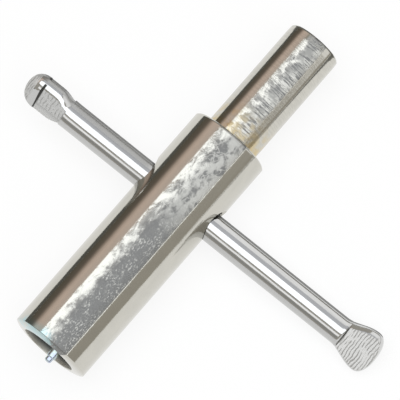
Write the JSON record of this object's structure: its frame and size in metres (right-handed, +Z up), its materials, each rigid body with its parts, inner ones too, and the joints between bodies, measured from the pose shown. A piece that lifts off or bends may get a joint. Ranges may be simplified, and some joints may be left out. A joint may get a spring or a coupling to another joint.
{
  "type": "t-handle socket wrench",
  "caption": "Plated steel T-handle socket key: round barrel with a crowned socket mouth and a sprung locating pin, a plain shank above and a sliding cross bar with pressed flat ends",
  "frame": {"origin": "on the bench, under the middle of the key's bounding box as it lies at rest", "axes": "+X along the barrel from the socket's mouth to the shank's free end, +Z up from the bench, +Y along the T-bar's shorter arm"},
  "size_m": [0.1406, 0.1476, 0.0292],
  "materials": {
    "barrel_plating": "bright nickel plating over turned steel, scuffed and mottled",
    "shank_plating": "bright nickel plating with fine turning marks across",
    "bar_steel": "bright plated drawn bar, forged texture on the pressed pads",
    "pin_zinc": "bright zinc with a blue and green passivation tint",
    "spring_steel": "plain spring wire",
    "guide_steel": "plain turned steel"
  },
  "bodies": {
    "handle": {"barrel": "barrel_plating", "shank": "shank_plating", "pin_guide": "guide_steel", "pin_spring": "spring_steel"},
    "t_bar": {"t_bar": "bar_steel"},
    "locating_pin": {"locating_pin": "pin_zinc"}
  },
  "joints": [
    {"name": "t_bar_slide", "type": "slide", "parent": "handle", "child": "t_bar", "axis": [0.0314, -0.9932, -0.1123], "range_m": [-0.0559, 0.0323]},
    {"name": "pin_plunge", "type": "slide", "parent": "handle", "child": "locating_pin", "axis": [1, 0, 0], "range_m": [0, 0.004], "stiffness_N_per_m": 800, "springref_m": -0.004, "deforming": ["pin_spring"]}
  ]
}
